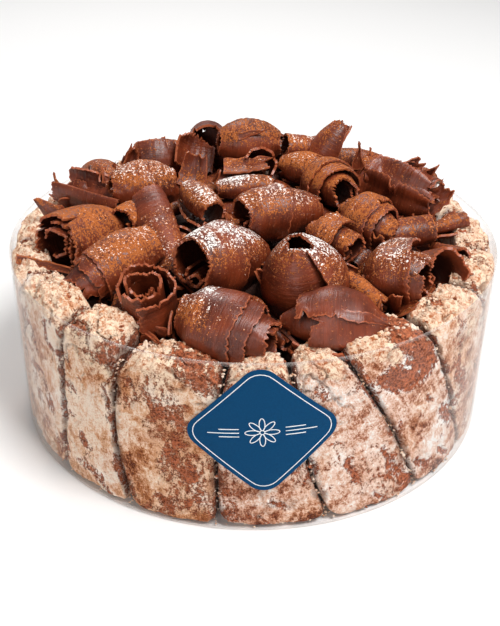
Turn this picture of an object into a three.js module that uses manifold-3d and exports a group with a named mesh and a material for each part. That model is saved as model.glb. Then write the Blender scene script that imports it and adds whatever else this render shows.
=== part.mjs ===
// A charlotte cake: a mousse cake inside a ring of sponge fingers, wrapped in a clear collar
// with a label on its front, and heaped with chocolate curls.
// Millimetres, +Z up, the front towards -Y. The origin is the middle of the underside.

import * as THREE from "three";
import { mergeVertices } from "three/addons/utils/BufferGeometryUtils.js";
import Module from "manifold-3d";

const wasm = await Module();
wasm.setup();

// ---- driving dimensions ----
const GAP = 0.35; // left between pieces that touch
const COLLAR_RADIUS = 100;
const COLLAR_HEIGHT = 74;
const COLLAR_WALL = 0.5;
const ROUND_SIDES = 36; // facets round the collar and the mousse

const FINGER_DEPTH = 15; // from the collar inwards
const FINGER_FOOT = 1; // the rounded feet stand up to this far off the ground
const FINGER_SEAM = 1.2; // open seam between two neighbours
const FINGER_ROUNDNESS = 0.36; // 1 is an ellipsoid, 0 a box

// The seams between the fingers, from the front round by the right: each one's place round the
// cake in degrees at its foot, at half the collar's height and at the collar's edge.
const SEAMS = [
  [-72.5, -79.5, -82],
  [-49.5, -59.5, -72.5],
  [-31, -40.5, -51.5],
  [-11, -20, -29],
  [8, 0.5, -7],
  [26, 20, 14],
  [44, 40.5, 37],
  [63, 61.5, 58],
  [84, 82, 81],
  [103, 101, 101],
  [122, 123, 121],
  [141, 142, 143],
  [162, 163, 165],
  [183, 183, 185],
  [203, 203.5, 205],
  [222, 224, 226.5],
  [243, 239.5, 243],
  [263, 262.5, 264.5],
];

// Height of each finger's tip, in the order of the seams on their left.
const FINGER_TOPS = [
  71, 75.5, 75.5, 75, 74.5, 75.5, 74, 75, 75.5, 74, 75, 74.5, 75.5, 75, 76.5, 76.5, 70, 68.5,
];

const CORE_RIM = 58; // height of the mousse at the fingers
const CORE_CROWN = 76; // and in the middle

const LABEL_SIDE = 41;
const LABEL_PAPER = 0.3;
const LABEL_HEIGHT = 46; // of its centre
const LABEL_HEADING = -88.2; // degrees round the cake
const LABEL_TURN = 3; // degrees off its tip, anticlockwise as seen from the front

const SHEET = 1.3; // thickness of the rolled chocolate
const SLACK = 0.07; // air between the turns of a roll, as a share of its diameter
const CURL_SIDES = 8; // facets in a full turn
const LONG_CURL = 25; // from this length on, a curl has three rings of facets, not two
const OPEN_CURL = 0.7; // up to this many turns, a curl is a bent sheet that other curls may lie in

// ---- the curls, from the front of the heap to its back ----
// Place of the middle, heading and rise of the mouth end, and the angle round the roll at which
// the outer edge lies (0 is up). Then the length, diameter and number of turns, and the
// diameter at the mouth and at the tail as shares of the full one.
const CURLS = [
  // name, x, y, z, heading, rise, edge, length, diameter, turns, mouth, tail
  ["front_barrel", -10, -76, 73, 338, -6, 200, 34, 24, 1.5, 0.74, 0.7],
  ["front_clam", 29, -74, 73, 352, 3, 130, 39, 25, 1.4, 0.16, 0.22],
  ["front_tent", 18.4, -49.6, 75.6, 240, 72, 245, 48, 38, 1.2, 0.12, 0.95],
  ["upright_scroll", -38.5, -63.5, 74, 250, 72, 300, 27, 22, 1.9, 1.0, 0.7],
  ["round_mouth", -11, -39, 81, 226, 12, 210, 38, 29, 1.1, 0.76, 0.45],
  ["cracked_ball", 54, -46, 77, 338, 12, 60, 27, 27, 1.4, 0.7, 0.55],
  ["slender_tube", 40, -56, 76, 318, -22, 90, 20, 13, 1.1, 1.0, 0.6],
  ["open_petal", 68, -40, 74, 310, 30, 240, 20, 24, 0.6, 1.0, 0.6],
  ["long_dusted", -53, -40, 78, 215, -16, 250, 36, 21, 1.3, 0.6, 0.85],
  ["west_barrel", -68, -18, 79, 230, 8, 240, 33, 29, 1.4, 0.95, 0.62],
  ["slab_curl", -37, -21, 82, 108, 24, 237, 44, 20, 0.55, 0.75, 0.7],
  ["middle_ovoid", 10, -14, 89, 208, 7, 215, 37, 22, 1.2, 0.78, 0.45],
  ["jagged_curl", 30, -29, 84, 325, -10, 160, 20, 17, 1.2, 0.9, 0.6],
  ["folded_curl", 46, -13, 84, 318, -8, 70, 24, 21, 1.5, 0.6, 0.7],
  ["plain_cylinder", 63, -13, 79, 20, 2, 200, 20, 17, 1.2, 0.85, 0.8],
  ["little_mouth", 78, -22, 74, 295, 18, 30, 15, 14, 1.2, 1.0, 0.7],
  ["edge_tube", 82, 2, 76, 20, 8, 110, 17, 11, 1.2, 0.95, 0.8],
  ["dark_scroll", 64, 25, 81, 322, -8, 12, 35, 20, 1.1, 0.7, 0.75],
  ["striped_curl", 32, 13, 88, 300, 2, 150, 23, 22, 1.4, 0.75, 0.65],
  ["back_dusted", 22, 34, 87, 335, 6, 210, 20, 19, 1.2, 0.75, 0.65],
  ["dark_mouth", 2, 32, 90, 275, 30, 180, 16, 18, 0.7, 1.0, 0.8],
  ["sugared_curl", -4, 10, 88, 10, 0, 200, 23, 15, 1.2, 0.7, 0.6],
  ["striated_curl", -22, -4, 88, 300, -4, 120, 22, 18, 1.0, 0.8, 0.7],
  ["dusted_inner", -50, -8, 83, 250, 10, 200, 19, 17, 1.2, 0.8, 0.65],
  ["wide_scroll", -70, 20, 82, 155, 4, 66, 36, 22, 0.64, 0.85, 0.8],
  ["large_ovoid", -48, 20, 85, 205, 10, 220, 29, 26, 1.3, 0.4, 0.6],
  ["ridge_shard", -20, 43, 95, 80, 50, 180, 17, 34, 0.22, 0.8, 1.0],
  ["crown_ball", -2, 50, 93, 10, -4, 210, 28, 26, 1.4, 0.5, 0.5],
  ["crown_curl", 22, 52, 90, 190, 6, 200, 17, 16, 1.2, 0.9, 0.65],
  ["crown_shard", -22, 66, 88, 272, 6, 270, 18, 22, 0.5, 1.0, 0.2],
  ["hook_curl", 34, 47, 91, 15, 64, 252, 27, 17, 0.6, 0.3, 1.0],
  ["fan_shard", -46, 60, 80, 95, 58, 292, 17, 34, 0.38, 0.9, 0.8],
  // the far side of the heap
  ["back_west_curl", -68, 46, 76, 120, -10, 200, 27, 22, 1.3, 0.8, 0.6],
  ["back_west_barrel", -42, 70, 77, 165, -4, 160, 30, 24, 1.4, 0.8, 0.65],
  ["back_middle_barrel", -8, 77, 76, 10, -4, 190, 32, 24, 1.4, 0.75, 0.6],
  ["back_middle_curl", 12, 62, 84, 130, 4, 30, 20, 17, 1.1, 0.9, 0.7],
  ["back_east_barrel", 27, 74, 76, 55, -6, 200, 30, 23, 1.3, 0.9, 0.65],
  ["back_east_curl", 52, 60, 77, 150, 0, 170, 28, 22, 1.4, 0.8, 0.65],
  ["far_east_curl", 76, 42, 75, 70, -4, 210, 24, 19, 1.2, 0.85, 0.7],
];

// ---- colours ----
const chocolate = () => new THREE.MeshStandardMaterial({ color: 0x6f3b2c, roughness: 0.45 });
const mousse = new THREE.MeshStandardMaterial({ color: 0x2e150e, roughness: 0.8 });
const sponge = new THREE.MeshStandardMaterial({ color: 0xcba790, roughness: 0.9 });
const acetate = new THREE.MeshStandardMaterial({
  color: 0xf2f0ee,
  roughness: 0.05,
  transparent: true,
  opacity: 0.2,
});
const labelPaper = new THREE.MeshStandardMaterial({ color: 0x003b60, roughness: 0.35 });

// ---- helpers ----
const radians = THREE.MathUtils.degToRad;

// A closed geometry as a solid, with its shared vertices merged.
function solidOf(geometry, matrix = new THREE.Matrix4()) {
  const bare = geometry.clone().applyMatrix4(matrix);
  bare.deleteAttribute("normal");
  bare.deleteAttribute("uv");
  const merged = mergeVertices(bare, 1e-4);
  const vertProperties = merged.attributes.position.array;
  const triVerts = new Uint32Array(merged.index.array);
  return new wasm.Manifold(new wasm.Mesh({ numProp: 3, vertProperties, triVerts }));
}

// A solid as a geometry with flat facets.
function geometryOf(solid) {
  const mesh = solid.getMesh();
  const geometry = new THREE.BufferGeometry();
  geometry.setAttribute("position", new THREE.BufferAttribute(mesh.vertProperties, 3));
  geometry.setIndex(new THREE.BufferAttribute(mesh.triVerts, 1));
  geometry.computeVertexNormals();
  return geometry;
}

function largestBody(solid) {
  const bodies = solid.decompose();
  return bodies.reduce((best, body) => (body.volume() > best.volume() ? body : best));
}

// A lathe turned about Z, from [radius, height] pairs.
function turned(profile, sides) {
  const points = profile.map(([radius, height]) => new THREE.Vector2(radius, height));
  return new THREE.LatheGeometry(points, sides).rotateX(Math.PI / 2);
}

function namedMesh(name, geometry, material) {
  const mesh = new THREE.Mesh(geometry, material);
  mesh.name = name;
  return mesh;
}

// ---- the clear collar ----
function collar() {
  const inner = COLLAR_RADIUS - COLLAR_WALL;
  const profile = [
    [inner, 0],
    [COLLAR_RADIUS, 0],
    [COLLAR_RADIUS, COLLAR_HEIGHT],
    [inner, COLLAR_HEIGHT],
    [inner, 0],
  ];
  return namedMesh("clear_collar", turned(profile, ROUND_SIDES), acetate);
}

// ---- the mousse ----
const fingerOuter = COLLAR_RADIUS - COLLAR_WALL - 2 * GAP;
const fingerInner = fingerOuter - FINGER_DEPTH;
const coreRadius = fingerInner - GAP;

function coreHeight(radius) {
  return CORE_CROWN - (CORE_CROWN - CORE_RIM) * (radius / coreRadius) ** 2;
}

function moundProfile(lift) {
  const shares = [0, 0.4, 0.75, 1]; // of the core's radius, closer where the mound is steeper
  return shares.map((share) => [share * coreRadius, coreHeight(share * coreRadius) + lift]);
}

function core() {
  const profile = [[0, 0], [coreRadius, 0], ...moundProfile(0).reverse()];
  return namedMesh("mousse_core", turned(profile, ROUND_SIDES), mousse);
}

// What the curls rest on, a gap larger than the mousse, the fingers and the collar.
function seat() {
  const tips = Math.max(...FINGER_TOPS) + GAP;
  const past = 1; // past the underside and the collar
  const shoulder = 4; // rounding of the fingers' tips
  const profile = [
    [0, -past],
    [COLLAR_RADIUS + past, -past],
    [COLLAR_RADIUS + past, COLLAR_HEIGHT + GAP],
    [fingerOuter, COLLAR_HEIGHT + GAP],
    [fingerOuter - past, tips],
    [fingerInner + shoulder, tips],
    [fingerInner, tips - shoulder],
    ...moundProfile(GAP).reverse(),
  ];
  return solidOf(turned(profile, ROUND_SIDES));
}

// ---- the sponge fingers ----
// A number from -1 to 1 that differs from one finger to the next.
function uneven(i, stride) {
  return Math.sin(stride * i);
}

// Seam i between two fingers: its angle in degrees at a height, on the curve through its places.
function seamAngle(i, height) {
  const past = 360 * Math.floor(i / SEAMS.length);
  const [foot, middle, top] = SEAMS[i % SEAMS.length];
  const t = height / COLLAR_HEIGHT;
  const upper = 4 * middle * t * (1 - t) + top * t * (2 * t - 1);
  return past + foot * (1 - t) * (1 - 2 * t) + upper;
}

// A coordinate of a unit sphere pushed out towards that of a box.
function boxy(value) {
  if (Math.abs(value) < 1e-6) return 0;
  return Math.sign(value) * Math.abs(value) ** FINGER_ROUNDNESS;
}

function finger(i) {
  const geometry = new THREE.SphereGeometry(1, 8, 6);
  const place = geometry.attributes.position;
  const bottom = (FINGER_FOOT * (1.2 + 0.8 * uneven(i, 2.3))) / 2;
  const seam = THREE.MathUtils.radToDeg(FINGER_SEAM / fingerOuter);
  for (let n = 0; n < place.count; n++) {
    const height = THREE.MathUtils.lerp(bottom, FINGER_TOPS[i], (boxy(place.getY(n)) + 1) / 2);
    const left = seamAngle(i, height) + seam / 2;
    const right = seamAngle(i + 1, height) - seam / 2;
    const angle = radians(THREE.MathUtils.lerp(left, right, (boxy(place.getX(n)) + 1) / 2));
    const radius = fingerOuter - (FINGER_DEPTH * (1 - boxy(place.getZ(n)))) / 2;
    place.setXYZ(n, radius * Math.cos(angle), radius * Math.sin(angle), height);
  }
  geometry.computeVertexNormals();
  const name = "sponge_finger_" + String(i + 1).padStart(2, "0");
  return namedMesh(name, geometry, sponge);
}

// ---- the label ----
function label() {
  const cells = 6;
  const geometry = new THREE.BoxGeometry(LABEL_SIDE, LABEL_PAPER, LABEL_SIDE, cells, 1, cells);
  geometry.rotateY(Math.PI / 4 - radians(LABEL_TURN));
  const place = geometry.attributes.position;
  const paperRadius = COLLAR_RADIUS + GAP + LABEL_PAPER / 2;
  for (let n = 0; n < place.count; n++) {
    const radius = paperRadius - place.getY(n);
    const angle = radians(LABEL_HEADING) + place.getX(n) / COLLAR_RADIUS;
    const height = LABEL_HEIGHT + place.getZ(n);
    place.setXYZ(n, radius * Math.cos(angle), radius * Math.sin(angle), height);
  }
  geometry.computeVertexNormals();
  return namedMesh("label", geometry, labelPaper);
}

// ---- the curls ----
function ringsOf(length) {
  return length < LONG_CURL ? 2 : 3;
}

// Share of the full diameter at a place along the curl, 0 at the tail and 1 at the mouth.
function swell(along, mouth, tail) {
  const end = along > 0.5 ? mouth : tail;
  return 1 - (1 - end) * (2 * along - 1) ** 2;
}

// A sheet rolled about Z, with the mouth at +Z and the outer edge at +X, grown on all sides.
function rolledSheet({ length, diameter, turns, mouth, tail }, grown = 0) {
  const sides = Math.max(3, Math.round(CURL_SIDES * turns));
  const pitch = SHEET + SLACK * diameter;
  const spare = (2 * grown) / diameter;
  const outer = [];
  const inner = [];
  for (let n = 0; n <= sides; n++) {
    const turn = (n / sides) * turns;
    const angle = 2 * Math.PI * turn + spare * ((2 * n) / sides - 1);
    const radius = diameter / 2 - pitch * turn + grown;
    outer.push(new THREE.Vector2(radius * Math.cos(angle), radius * Math.sin(angle)));
    const within = radius - SHEET - 2 * grown;
    inner.push(new THREE.Vector2(within * Math.cos(angle), within * Math.sin(angle)));
  }
  const section = new THREE.Shape([...outer, ...inner.reverse()]);
  const depth = length + 2 * grown;
  const options = { depth, steps: ringsOf(length), bevelEnabled: false };
  const geometry = new THREE.ExtrudeGeometry(section, options).translate(0, 0, -depth / 2);
  const place = geometry.attributes.position;
  for (let n = 0; n < place.count; n++) {
    const along = place.getZ(n) / depth + 0.5;
    const share = swell(along, mouth, tail);
    place.setXY(n, place.getX(n) * share, place.getY(n) * share);
  }
  return geometry;
}

// What a curl keeps free of its neighbours: a closed barrel, or the grown sheet of an open curl,
// whose facets turn a little as it grows and so take twice the gap.
function clearance(size) {
  const { length, diameter, turns, mouth, tail } = size;
  if (turns <= OPEN_CURL) return rolledSheet(size, 2 * GAP);
  const spread = 1 / Math.cos(Math.PI / CURL_SIDES);
  const rings = ringsOf(length);
  const profile = [[0, -length / 2 - GAP]];
  for (let n = 0; n <= rings; n++) {
    const along = n / rings;
    const radius = ((diameter / 2) * swell(along, mouth, tail) + GAP) * spread;
    profile.push([radius, (along - 0.5) * (length + 2 * GAP)]);
  }
  profile.push([0, length / 2 + GAP]);
  return turned(profile, CURL_SIDES);
}

// The matrix of a curl: its Z along the heading and rise, its X upwards, turned by the edge.
function curlMatrix({ x, y, z, heading, rise, edge }) {
  const [h, r] = [radians(heading), radians(rise)];
  const axis = new THREE.Vector3(Math.cos(h) * Math.cos(r), Math.sin(h) * Math.cos(r), Math.sin(r));
  const right = new THREE.Vector3(Math.sin(h), -Math.cos(h), 0);
  const up = right.clone().cross(axis);
  const turn = new THREE.Matrix4().makeRotationZ(radians(edge));
  return new THREE.Matrix4().makeBasis(up, right, axis).multiply(turn).setPosition(x, y, z);
}

function curls() {
  const heap = new THREE.Group();
  let taken = seat();
  for (const [name, x, y, z, heading, rise, edge, length, diameter, turns, mouth, tail] of CURLS) {
    const size = { length, diameter, turns, mouth, tail };
    const matrix = curlMatrix({ x, y, z, heading, rise, edge });
    const trimmed = largestBody(solidOf(rolledSheet(size), matrix).subtract(taken));
    const geometry = geometryOf(trimmed).applyMatrix4(matrix.clone().invert());
    const mesh = namedMesh("curl_" + name, geometry, chocolate());
    matrix.decompose(mesh.position, mesh.quaternion, mesh.scale);
    heap.add(mesh);
    taken = taken.add(solidOf(clearance(size), matrix));
  }
  return heap;
}

// ---- the whole cake ----
const cake = new THREE.Group();
cake.add(core());
cake.add(collar());
cake.add(label());
for (let i = 0; i < SEAMS.length; i++) {
  cake.add(finger(i));
}
cake.add(curls());

export default cake;
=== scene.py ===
"""The looks of a charlotte cake: a mousse cake in a ring of sponge fingers, a clear collar with a
label, and a heap of dark chocolate curls dusted with cocoa and icing sugar.
Shapes are worked out in millimetres and scaled to metres when a piece is made."""

import math
import random

import bmesh
import bpy
from mathutils import Matrix, Vector, noise
from mathutils.bvhtree import BVHTree


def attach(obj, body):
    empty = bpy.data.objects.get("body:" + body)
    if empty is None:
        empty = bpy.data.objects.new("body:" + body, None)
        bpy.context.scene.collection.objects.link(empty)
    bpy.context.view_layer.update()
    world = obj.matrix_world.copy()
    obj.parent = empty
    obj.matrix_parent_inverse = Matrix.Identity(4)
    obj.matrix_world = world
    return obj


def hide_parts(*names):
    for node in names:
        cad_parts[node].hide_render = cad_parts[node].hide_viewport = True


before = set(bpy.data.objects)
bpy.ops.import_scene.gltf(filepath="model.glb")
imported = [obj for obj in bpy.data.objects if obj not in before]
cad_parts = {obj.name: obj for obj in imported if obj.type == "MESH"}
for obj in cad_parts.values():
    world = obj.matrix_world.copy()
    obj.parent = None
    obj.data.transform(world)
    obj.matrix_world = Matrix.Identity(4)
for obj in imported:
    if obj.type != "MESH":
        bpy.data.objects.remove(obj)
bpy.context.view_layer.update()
MM = 0.001
UP = Vector((0, 0, 1))

# ---- sizes of the cake, in mm and degrees, as its solids have them ----
COLLAR_RADIUS = 100
COLLAR_HEIGHT = 74
FILM = 0.4
INSIDE_FILM = COLLAR_RADIUS - FILM
FINGER_COUNT = 18
FINGER_DEPTH = 15
FINGER_OUTER = 98.8
FINGER_FOOT = 1
FINGER_SEAM = 1.2
# Each seam's heading at its foot, at half the height and at the top, in degrees.
SEAMS = [
    (-72.5, -79.5, -82),
    (-49.5, -59.5, -72.5),
    (-31, -40.5, -51.5),
    (-11, -20, -29),
    (8, 0.5, -7),
    (26, 20, 14),
    (44, 40.5, 37),
    (63, 61.5, 58),
    (84, 82, 81),
    (103, 101, 101),
    (122, 123, 121),
    (141, 142, 143),
    (162, 163, 165),
    (183, 183, 185),
    (203, 203.5, 205),
    (222, 224, 226.5),
    (243, 239.5, 243),
    (263, 262.5, 264.5),
]
# Height of each finger's tip, in the order of the seams on their left.
FINGER_TOPS = (71, 75.5, 75.5, 75, 74.5, 75.5, 74, 75, 75.5, 74, 75, 74.5, 75.5, 75, 76.5, 76.5, 70, 68.5)
CORE_RADIUS = 83.45
CORE_RIM = 58
CORE_CROWN = 76
LABEL_SIDE = 41
LABEL_PAPER = 0.3
LABEL_HEIGHT = 46
LABEL_HEADING = -88.2
LABEL_TURN = 3  # degrees anticlockwise, as seen from the front
LABEL_RADIUS = 100.35
LABEL_CORNER = 7
PRINT_INSET = 1.7
PRINT_LINE = 0.3
PRINT_DEPTH = 0.05

# ---- the curls ----
SHEET = 1.3  # mm of chocolate in each turn
SLACK = 0.07  # air between the turns, as a share of the curl's diameter
# Place of the middle, heading and rise of the mouth, angle of the outer edge, then length,
# diameter, turns, and the diameter at the mouth and the tail as shares of the full one.
CURLS = [
    ("front_barrel", -10, -76, 73, 338, -6, 200, 34, 24, 1.5, 0.74, 0.7),
    ("front_clam", 29, -74, 73, 352, 3, 130, 39, 25, 1.4, 0.16, 0.22),
    ("front_tent", 18.4, -49.6, 75.6, 240, 72, 245, 48, 38, 1.2, 0.12, 0.95),
    ("upright_scroll", -38.5, -63.5, 74, 250, 72, 300, 27, 22, 1.9, 1.0, 0.7),
    ("round_mouth", -11, -39, 81, 226, 12, 210, 38, 29, 1.1, 0.76, 0.45),
    ("cracked_ball", 54, -46, 77, 338, 12, 60, 27, 27, 1.4, 0.7, 0.55),
    ("slender_tube", 40, -56, 76, 318, -22, 90, 20, 13, 1.1, 1.0, 0.6),
    ("open_petal", 68, -40, 74, 310, 30, 240, 20, 24, 0.6, 1.0, 0.6),
    ("long_dusted", -53, -40, 78, 215, -16, 250, 36, 21, 1.3, 0.6, 0.85),
    ("west_barrel", -68, -18, 79, 230, 8, 240, 33, 29, 1.4, 0.95, 0.62),
    ("slab_curl", -37, -21, 82, 108, 24, 237, 44, 20, 0.55, 0.75, 0.7),
    ("middle_ovoid", 10, -14, 89, 208, 7, 215, 37, 22, 1.2, 0.78, 0.45),
    ("jagged_curl", 30, -29, 84, 325, -10, 160, 20, 17, 1.2, 0.9, 0.6),
    ("folded_curl", 46, -13, 84, 318, -8, 70, 24, 21, 1.5, 0.6, 0.7),
    ("plain_cylinder", 63, -13, 79, 20, 2, 200, 20, 17, 1.2, 0.85, 0.8),
    ("little_mouth", 78, -22, 74, 295, 18, 30, 15, 14, 1.2, 1.0, 0.7),
    ("edge_tube", 82, 2, 76, 20, 8, 110, 17, 11, 1.2, 0.95, 0.8),
    ("dark_scroll", 64, 25, 81, 322, -8, 12, 35, 20, 1.1, 0.7, 0.75),
    ("striped_curl", 32, 13, 88, 300, 2, 150, 23, 22, 1.4, 0.75, 0.65),
    ("back_dusted", 22, 34, 87, 335, 6, 210, 20, 19, 1.2, 0.75, 0.65),
    ("dark_mouth", 2, 32, 90, 275, 30, 180, 16, 18, 0.7, 1.0, 0.8),
    ("sugared_curl", -4, 10, 88, 10, 0, 200, 23, 15, 1.2, 0.7, 0.6),
    ("striated_curl", -22, -4, 88, 300, -4, 120, 22, 18, 1.0, 0.8, 0.7),
    ("dusted_inner", -50, -8, 83, 250, 10, 200, 19, 17, 1.2, 0.8, 0.65),
    ("wide_scroll", -70, 20, 82, 155, 4, 66, 36, 22, 0.64, 0.85, 0.8),
    ("large_ovoid", -48, 20, 85, 205, 10, 220, 29, 26, 1.3, 0.4, 0.6),
    ("ridge_shard", -20, 43, 95, 80, 50, 180, 17, 34, 0.22, 0.8, 1.0),
    ("crown_ball", -2, 50, 93, 10, -4, 210, 28, 26, 1.4, 0.5, 0.5),
    ("crown_curl", 22, 52, 90, 190, 6, 200, 17, 16, 1.2, 0.9, 0.65),
    ("crown_shard", -22, 66, 88, 272, 6, 270, 18, 22, 0.5, 1.0, 0.2),
    ("hook_curl", 34, 47, 91, 15, 64, 252, 27, 17, 0.6, 0.3, 1.0),
    ("fan_shard", -46, 60, 80, 95, 58, 292, 17, 34, 0.38, 0.9, 0.8),
    ("back_west_curl", -68, 46, 76, 120, -10, 200, 27, 22, 1.3, 0.8, 0.6),
    ("back_west_barrel", -42, 70, 77, 165, -4, 160, 30, 24, 1.4, 0.8, 0.65),
    ("back_middle_barrel", -8, 77, 76, 10, -4, 190, 32, 24, 1.4, 0.75, 0.6),
    ("back_middle_curl", 12, 62, 84, 130, 4, 30, 20, 17, 1.1, 0.9, 0.7),
    ("back_east_barrel", 27, 74, 76, 55, -6, 200, 30, 23, 1.3, 0.9, 0.65),
    ("back_east_curl", 52, 60, 77, 150, 0, 170, 28, 22, 1.4, 0.8, 0.65),
    ("far_east_curl", 76, 42, 75, 70, -4, 210, 24, 19, 1.2, 0.85, 0.7),
]
# What each curl has of its own: cocoa and sugar on it (0 to 1), the depth of its torn teeth and
# how far each inner turn stands out of the mouth (mm), the relief of its cross ribs (mm), and
# its width as a share of its height, how far it bends up at its ends (mm), where along it the
# powder stops, how much lower its mouth edge is at its sides (mm), and the relief of its bark-like
# streaks (mm).
USUAL = dict(
    cocoa=0.6, sugar=0.25, teeth=1.6, step=0.6, ribs=0.05, squash=1.0, bend=0.0, clean=2, arch=0, bark=0.1
)
OWN = {
    "front_barrel": dict(cocoa=0.66, sugar=0.62, teeth=1.8, step=1.6, ribs=0.06, clean=0.34),
    "front_clam": dict(cocoa=0.14, sugar=0.03, teeth=1.2, step=-1.0, bend=1.0),
    "front_tent": dict(cocoa=0.6, sugar=0.75, teeth=1.2, step=-1.5, arch=3),
    "upright_scroll": dict(cocoa=0.22, sugar=0.1, teeth=2.6, step=-0.6, ribs=0.12),
    "round_mouth": dict(cocoa=0.62, sugar=0.62, teeth=1.3, step=-1.0),
    "cracked_ball": dict(cocoa=0.62, sugar=0.5, teeth=2.4, step=-1.2),
    "slender_tube": dict(cocoa=0.75, sugar=0.1),
    "open_petal": dict(cocoa=0.4, sugar=0.1, teeth=2.2),
    "long_dusted": dict(cocoa=0.85, sugar=0.34, teeth=1.6, step=3.4, ribs=0.3, clean=0.68),
    "west_barrel": dict(cocoa=0.76, sugar=0.14, teeth=3.0, step=-2.2, ribs=0.1),
    "slab_curl": dict(cocoa=0.5, sugar=0.34, teeth=1.8, squash=0.7, bark=0.3, clean=0.6),
    "middle_ovoid": dict(cocoa=0.62, sugar=0.45, teeth=1.8, step=-0.6),
    "jagged_curl": dict(cocoa=0.76, sugar=0.3, teeth=2.4),
    "folded_curl": dict(cocoa=0.78, sugar=0.16, teeth=2.0, step=1.6),
    "plain_cylinder": dict(cocoa=0.5, sugar=0.1),
    "little_mouth": dict(cocoa=0.5, sugar=0.15),
    "edge_tube": dict(cocoa=0.6, sugar=0.2),
    "dark_scroll": dict(cocoa=0.22, sugar=0.06, teeth=2.6, step=1.4),
    "striped_curl": dict(cocoa=0.8, sugar=0.24, teeth=2.6, step=1.0, bark=0.3),
    "back_dusted": dict(cocoa=0.9, sugar=0.34, bark=0.4),
    "dark_mouth": dict(cocoa=0.6, sugar=0.45),
    "sugared_curl": dict(cocoa=0.7, sugar=0.56, bark=0.3),
    "striated_curl": dict(cocoa=0.75, sugar=0.5, bark=0.45),
    "dusted_inner": dict(cocoa=0.85, sugar=0.3),
    "wide_scroll": dict(cocoa=0.2, sugar=0.03, teeth=3.4, ribs=0.2),
    "large_ovoid": dict(cocoa=0.78, sugar=0.5, teeth=1.6, bark=0.55),
    "ridge_shard": dict(cocoa=0.28, sugar=0.05, teeth=2.8, arch=4, ribs=0.3),
    "crown_ball": dict(cocoa=0.68, sugar=0.2, bark=0.4),
    "crown_curl": dict(cocoa=0.8, sugar=0.5),
    "crown_shard": dict(cocoa=0.15, sugar=0.02, teeth=2.4),
    "hook_curl": dict(cocoa=0.45, sugar=0.1, teeth=2.4),
    "fan_shard": dict(cocoa=0.2, sugar=0.03, teeth=2.8, ribs=0.3, arch=9),
    "tucked_core": dict(cocoa=0.25, sugar=0.05, teeth=2.4, ribs=0.6),
    "tucked_roll": dict(cocoa=0.6, sugar=0.6, teeth=1.8, ribs=0.2),
}
CURL_CELL = 0.85  # mm between the vertices of a curl
TOOTH = 2.2  # mm from one torn tooth to the next
RIB = 1.5  # mm from one cross rib to the next
CURL_THICKNESS = 1.05
FLAKE_THICKNESS = 0.7
PETAL_THICKNESS = 0.8

# Second layers on curls: how far out they lie and how far their free edges lift (mm), then from
# and to along the curl (0 tail, 1 mouth), then from and to round it (degrees from its top).
PETALS = [
    ("front_barrel", 1.5, 0.4, 0.7, 0.04, -80, 190),
    ("front_barrel", 0.6, 0.5, 0.87, 0.3, -80, 190),
    ("front_clam", 1.4, 1.6, 0.1, 1.0, 96, 190),
    ("front_clam", 1.0, 1.2, 0.28, 1.0, 34, 112),
    ("front_clam", 1.8, 0.8, 0.14, 0.97, 50, -50),
    ("round_mouth", 0.6, 0.6, 0.56, 0.97, -150, 50),
    ("middle_ovoid", 0.6, 0.5, 0.52, 0.97, -150, 50),
    ("cracked_ball", 0.8, 1.8, 0.8, 0.1, -50, 112),
    ("cracked_ball", 0.4, 1.6, 0.9, 0.3, 128, 220),
    ("folded_curl", 1.3, 0.6, 0.7, 0.1, -90, 190),
    ("folded_curl", 0.5, 0.6, 0.87, 0.2, -90, 190),
    ("striped_curl", 1.2, 0.5, 0.6, 0.05, -90, 190),
    ("striped_curl", 0.5, 0.5, 0.82, 0.2, -90, 190),
    ("long_dusted", 1.0, 0.3, 0.74, 0.05, -170, 80),
    ("long_dusted", 0.4, 0.4, 0.88, 0.3, -170, 80),
    ("dark_scroll", 1.4, 3.2, 0.06, 1.0, 44, 130),
    ("dark_scroll", 0.4, 4.2, 0.15, 0.9, 4, 80),
    ("dark_scroll", 0.8, 3.6, 0.95, 0.2, -64, 20),
    ("wide_scroll", -3.5, 1.0, 0.9, 0.1, 96, 200),
    ("wide_scroll", -5.5, 1.0, 0.15, 0.8, 262, 170),
    ("wide_scroll", 0.8, 2.4, 0.02, 0.6, 80, 170),
    ("upright_scroll", 0.9, 1.2, 0.97, 0.0, -168, -50),
    ("jagged_curl", 0.6, 1.4, 0.75, 0.1, -40, 120),
]
TUCKED = 70  # small curls under the others
TUCKED_REACH = 80
FLAKES = 110
FLAKE_REACH = 84
FLAKE_CELL = 0.8
GOLDEN_ANGLE = 137.5  # degrees from one place to the next, which spreads them evenly
NEAR_SIGHT = 25  # mm that a place is looked at from, to tell how deep in the heap it lies, which sets its painted shade
SKY = 40  # mm above a place that keep the powders off it

# Small curls that have a place of their own, in the form of the big ones.
SMALL_CURLS = [
    ("tucked_core", -71.5, -22, 81, 232, 8, 150, 18, 16, 0.84, 0.9, 0.9),
    ("tucked_roll", -19, -46, 78, 245, 8, 40, 15, 10, 1.3, 1.0, 0.8),
    ("tucked_knob", 84, 10, 75, 40, 10, 60, 9, 9, 1.3, 0.9, 0.7),
]

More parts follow.
